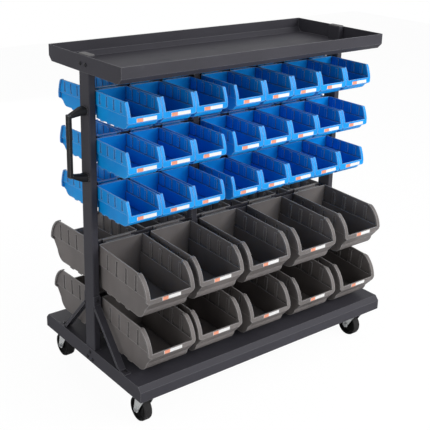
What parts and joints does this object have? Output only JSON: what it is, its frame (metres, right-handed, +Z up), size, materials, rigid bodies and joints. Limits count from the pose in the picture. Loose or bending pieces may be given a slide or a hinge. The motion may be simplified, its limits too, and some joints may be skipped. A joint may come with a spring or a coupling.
{
  "type": "rolling bin rack",
  "caption": "Double-sided rolling rack with a shallow top tray, rows of lift-off open-front bins hung on rails between end posts, a side push handle and swivel casters.",
  "frame": {"origin": "on the floor, under the centre of the base platform", "axes": "+X along the rack to the end without the handle, -Y to the front, +Z up"},
  "size_m": [0.9678, 0.53, 0.985],
  "materials": {
    "frame_paint": "charcoal powder coat, satin",
    "cap_plastic": "moulded plastic",
    "handle_plastic": "moulded plastic, fine grain",
    "screw_steel": "blackened steel",
    "caster_steel": "bright zinc plate",
    "axle_steel": "zinc-plated bolt",
    "wheel_rubber": "black rubber",
    "blue_plastic": "moulded polypropylene, slight sheen",
    "grey_plastic": "moulded polypropylene, slight sheen"
  },
  "bodies": {
    "rack_frame": {"base_platform": "frame_paint", "top_tray": "frame_paint", "post_left": "frame_paint", "post_right": "frame_paint", "post_caps": "cap_plastic", "hanging_rails": "frame_paint", "centre_straps": "frame_paint", "braces": "frame_paint", "push_handle": "handle_plastic", "frame_screws": "screw_steel", "caster_plates": "caster_steel", "caster_bolts": "caster_steel"},
    "small_bin_a1_body": {"small_bin_a1": "blue_plastic"},
    "small_bin_a2_body": {"small_bin_a2": "blue_plastic"},
    "small_bin_a3_body": {"small_bin_a3": "blue_plastic"},
    "small_bin_a4_body": {"small_bin_a4": "blue_plastic"},
    "small_bin_a5_body": {"small_bin_a5": "blue_plastic"},
    "small_bin_a6_body": {"small_bin_a6": "blue_plastic"},
    "small_bin_a7_body": {"small_bin_a7": "blue_plastic"},
    "small_bin_a8_body": {"small_bin_a8": "blue_plastic"},
    "small_bin_b1_body": {"small_bin_b1": "blue_plastic"},
    "small_bin_b2_body": {"small_bin_b2": "blue_plastic"},
    "small_bin_b3_body": {"small_bin_b3": "blue_plastic"},
    "small_bin_b4_body": {"small_bin_b4": "blue_plastic"},
    "small_bin_b5_body": {"small_bin_b5": "blue_plastic"},
    "small_bin_b6_body": {"small_bin_b6": "blue_plastic"},
    "small_bin_b7_body": {"small_bin_b7": "blue_plastic"},
    "small_bin_b8_body": {"small_bin_b8": "blue_plastic"},
    "small_bin_c1_body": {"small_bin_c1": "blue_plastic"},
    "small_bin_c2_body": {"small_bin_c2": "blue_plastic"},
    "small_bin_c3_body": {"small_bin_c3": "blue_plastic"},
    "small_bin_c4_body": {"small_bin_c4": "blue_plastic"},
    "small_bin_c5_body": {"small_bin_c5": "blue_plastic"},
    "small_bin_c6_body": {"small_bin_c6": "blue_plastic"},
    "small_bin_c7_body": {"small_bin_c7": "blue_plastic"},
    "small_bin_c8_body": {"small_bin_c8": "blue_plastic"},
    "large_bin_d1_body": {"large_bin_d1": "grey_plastic"},
    "large_bin_d2_body": {"large_bin_d2": "grey_plastic"},
    "large_bin_d3_body": {"large_bin_d3": "grey_plastic"},
    "large_bin_d4_body": {"large_bin_d4": "grey_plastic"},
    "large_bin_d5_body": {"large_bin_d5": "grey_plastic"},
    "large_bin_e1_body": {"large_bin_e1": "grey_plastic"},
    "large_bin_e2_body": {"large_bin_e2": "grey_plastic"},
    "large_bin_e3_body": {"large_bin_e3": "grey_plastic"},
    "large_bin_e4_body": {"large_bin_e4": "grey_plastic"},
    "large_bin_e5_body": {"large_bin_e5": "grey_plastic"},
    "rear_small_bins_body": {"rear_small_bins": "blue_plastic"},
    "rear_large_bins_body": {"rear_large_bins": "grey_plastic"},
    "caster_front_left": {"caster_fork_front_left": "caster_steel", "caster_axle_front_left": "axle_steel"},
    "wheel_front_left": {"caster_wheel_front_left": "wheel_rubber"},
    "caster_front_right": {"caster_fork_front_right": "caster_steel", "caster_axle_front_right": "axle_steel"},
    "wheel_front_right": {"caster_wheel_front_right": "wheel_rubber"},
    "caster_rear_left": {"caster_fork_rear_left": "caster_steel", "caster_axle_rear_left": "axle_steel"},
    "wheel_rear_left": {"caster_wheel_rear_left": "wheel_rubber"},
    "caster_rear_right": {"caster_fork_rear_right": "caster_steel", "caster_axle_rear_right": "axle_steel"},
    "wheel_rear_right": {"caster_wheel_rear_right": "wheel_rubber"}
  },
  "joints": [
    {"name": "small_bin_a1_lift", "type": "slide", "parent": "rack_frame", "child": "small_bin_a1_body", "axis": [0, 0, 1], "range_m": [0, 0.014]},
    {"name": "small_bin_a2_lift", "type": "slide", "parent": "rack_frame", "child": "small_bin_a2_body", "axis": [0, 0, 1], "range_m": [0, 0.014]},
    {"name": "small_bin_a3_lift", "type": "slide", "parent": "rack_frame", "child": "small_bin_a3_body", "axis": [0, 0, 1], "range_m": [0, 0.014]},
    {"name": "small_bin_a4_lift", "type": "slide", "parent": "rack_frame", "child": "small_bin_a4_body", "axis": [0, 0, 1], "range_m": [0, 0.014]},
    {"name": "small_bin_a5_lift", "type": "slide", "parent": "rack_frame", "child": "small_bin_a5_body", "axis": [0, 0, 1], "range_m": [0, 0.014]},
    {"name": "small_bin_a6_lift", "type": "slide", "parent": "rack_frame", "child": "small_bin_a6_body", "axis": [0, 0, 1], "range_m": [0, 0.014]},
    {"name": "small_bin_a7_lift", "type": "slide", "parent": "rack_frame", "child": "small_bin_a7_body", "axis": [0, 0, 1], "range_m": [0, 0.014]},
    {"name": "small_bin_a8_lift", "type": "slide", "parent": "rack_frame", "child": "small_bin_a8_body", "axis": [0, 0, 1], "range_m": [0, 0.014]},
    {"name": "small_bin_b1_lift", "type": "slide", "parent": "rack_frame", "child": "small_bin_b1_body", "axis": [0, 0, 1], "range_m": [0, 0.014]},
    {"name": "small_bin_b2_lift", "type": "slide", "parent": "rack_frame", "child": "small_bin_b2_body", "axis": [0, 0, 1], "range_m": [0, 0.014]},
    {"name": "small_bin_b3_lift", "type": "slide", "parent": "rack_frame", "child": "small_bin_b3_body", "axis": [0, 0, 1], "range_m": [0, 0.014]},
    {"name": "small_bin_b4_lift", "type": "slide", "parent": "rack_frame", "child": "small_bin_b4_body", "axis": [0, 0, 1], "range_m": [0, 0.014]},
    {"name": "small_bin_b5_lift", "type": "slide", "parent": "rack_frame", "child": "small_bin_b5_body", "axis": [0, 0, 1], "range_m": [0, 0.014]},
    {"name": "small_bin_b6_lift", "type": "slide", "parent": "rack_frame", "child": "small_bin_b6_body", "axis": [0, 0, 1], "range_m": [0, 0.014]},
    {"name": "small_bin_b7_lift", "type": "slide", "parent": "rack_frame", "child": "small_bin_b7_body", "axis": [0, 0, 1], "range_m": [0, 0.014]},
    {"name": "small_bin_b8_lift", "type": "slide", "parent": "rack_frame", "child": "small_bin_b8_body", "axis": [0, 0, 1], "range_m": [0, 0.014]},
    {"name": "small_bin_c1_lift", "type": "slide", "parent": "rack_frame", "child": "small_bin_c1_body", "axis": [0, 0, 1], "range_m": [0, 0.014]},
    {"name": "small_bin_c2_lift", "type": "slide", "parent": "rack_frame", "child": "small_bin_c2_body", "axis": [0, 0, 1], "range_m": [0, 0.014]},
    {"name": "small_bin_c3_lift", "type": "slide", "parent": "rack_frame", "child": "small_bin_c3_body", "axis": [0, 0, 1], "range_m": [0, 0.014]},
    {"name": "small_bin_c4_lift", "type": "slide", "parent": "rack_frame", "child": "small_bin_c4_body", "axis": [0, 0, 1], "range_m": [0, 0.014]},
    {"name": "small_bin_c5_lift", "type": "slide", "parent": "rack_frame", "child": "small_bin_c5_body", "axis": [0, 0, 1], "range_m": [0, 0.014]},
    {"name": "small_bin_c6_lift", "type": "slide", "parent": "rack_frame", "child": "small_bin_c6_body", "axis": [0, 0, 1], "range_m": [0, 0.014]},
    {"name": "small_bin_c7_lift", "type": "slide", "parent": "rack_frame", "child": "small_bin_c7_body", "axis": [0, 0, 1], "range_m": [0, 0.014]},
    {"name": "small_bin_c8_lift", "type": "slide", "parent": "rack_frame", "child": "small_bin_c8_body", "axis": [0, 0, 1], "range_m": [0, 0.014]},
    {"name": "large_bin_d1_lift", "type": "slide", "parent": "rack_frame", "child": "large_bin_d1_body", "axis": [0, -0.0523, 0.9986], "range_m": [0, 0.014]},
    {"name": "large_bin_d2_lift", "type": "slide", "parent": "rack_frame", "child": "large_bin_d2_body", "axis": [0, -0.0332, 0.9995], "range_m": [0, 0.014]},
    {"name": "large_bin_d3_lift", "type": "slide", "parent": "rack_frame", "child": "large_bin_d3_body", "axis": [0, -0.0349, 0.9994], "range_m": [0, 0.014]},
    {"name": "large_bin_d4_lift", "type": "slide", "parent": "rack_frame", "child": "large_bin_d4_body", "axis": [0, -0.0436, 0.999], "range_m": [0, 0.014]},
    {"name": "large_bin_d5_lift", "type": "slide", "parent": "rack_frame", "child": "large_bin_d5_body", "axis": [0, -0.0349, 0.9994], "range_m": [0, 0.014]},
    {"name": "large_bin_e1_lift", "type": "slide", "parent": "rack_frame", "child": "large_bin_e1_body", "axis": [0, -0.0488, 0.9988], "range_m": [0, 0.014]},
    {"name": "large_bin_e2_lift", "type": "slide", "parent": "rack_frame", "child": "large_bin_e2_body", "axis": [0, -0.0384, 0.9993], "range_m": [0, 0.014]},
    {"name": "large_bin_e3_lift", "type": "slide", "parent": "rack_frame", "child": "large_bin_e3_body", "axis": [0, -0.0628, 0.998], "range_m": [0, 0.014]},
    {"name": "large_bin_e4_lift", "type": "slide", "parent": "rack_frame", "child": "large_bin_e4_body", "axis": [0, -0.0698, 0.9976], "range_m": [0, 0.014]},
    {"name": "large_bin_e5_lift", "type": "slide", "parent": "rack_frame", "child": "large_bin_e5_body", "axis": [0, -0.0872, 0.9962], "range_m": [0, 0.014]},
    {"name": "rear_small_bins_lift", "type": "slide", "parent": "rack_frame", "child": "rear_small_bins_body", "axis": [0, 0.0262, 0.9997], "range_m": [0, 0.014]},
    {"name": "rear_large_bins_lift", "type": "slide", "parent": "rack_frame", "child": "rear_large_bins_body", "axis": [0, 0.0262, 0.9997], "range_m": [0, 0.014]},
    {"name": "swivel_front_left", "type": "hinge", "parent": "rack_frame", "child": "caster_front_left", "pos_m": [-0.408, -0.211, 0.1], "axis": [0, 0, 1], "continuous": true},
    {"name": "spin_front_left", "type": "hinge", "parent": "caster_front_left", "child": "wheel_front_left", "pos_m": [-0.408, -0.186, 0.036], "axis": [1, 0, 0], "continuous": true},
    {"name": "swivel_front_right", "type": "hinge", "parent": "rack_frame", "child": "caster_front_right", "pos_m": [0.408, -0.211, 0.1], "axis": [0, 0, 1], "continuous": true},
    {"name": "spin_front_right", "type": "hinge", "parent": "caster_front_right", "child": "wheel_front_right", "pos_m": [0.408, -0.186, 0.036], "axis": [1, 0, 0], "continuous": true},
    {"name": "swivel_rear_left", "type": "hinge", "parent": "rack_frame", "child": "caster_rear_left", "pos_m": [-0.408, 0.211, 0.1], "axis": [0, 0, 1], "continuous": true},
    {"name": "spin_rear_left", "type": "hinge", "parent": "caster_rear_left", "child": "wheel_rear_left", "pos_m": [-0.408, 0.236, 0.036], "axis": [1, 0, 0], "continuous": true},
    {"name": "swivel_rear_right", "type": "hinge", "parent": "rack_frame", "child": "caster_rear_right", "pos_m": [0.408, 0.211, 0.1], "axis": [0, 0, 1], "continuous": true},
    {"name": "spin_rear_right", "type": "hinge", "parent": "caster_rear_right", "child": "wheel_rear_right", "pos_m": [0.408, 0.236, 0.036], "axis": [1, 0, 0], "continuous": true}
  ]
}
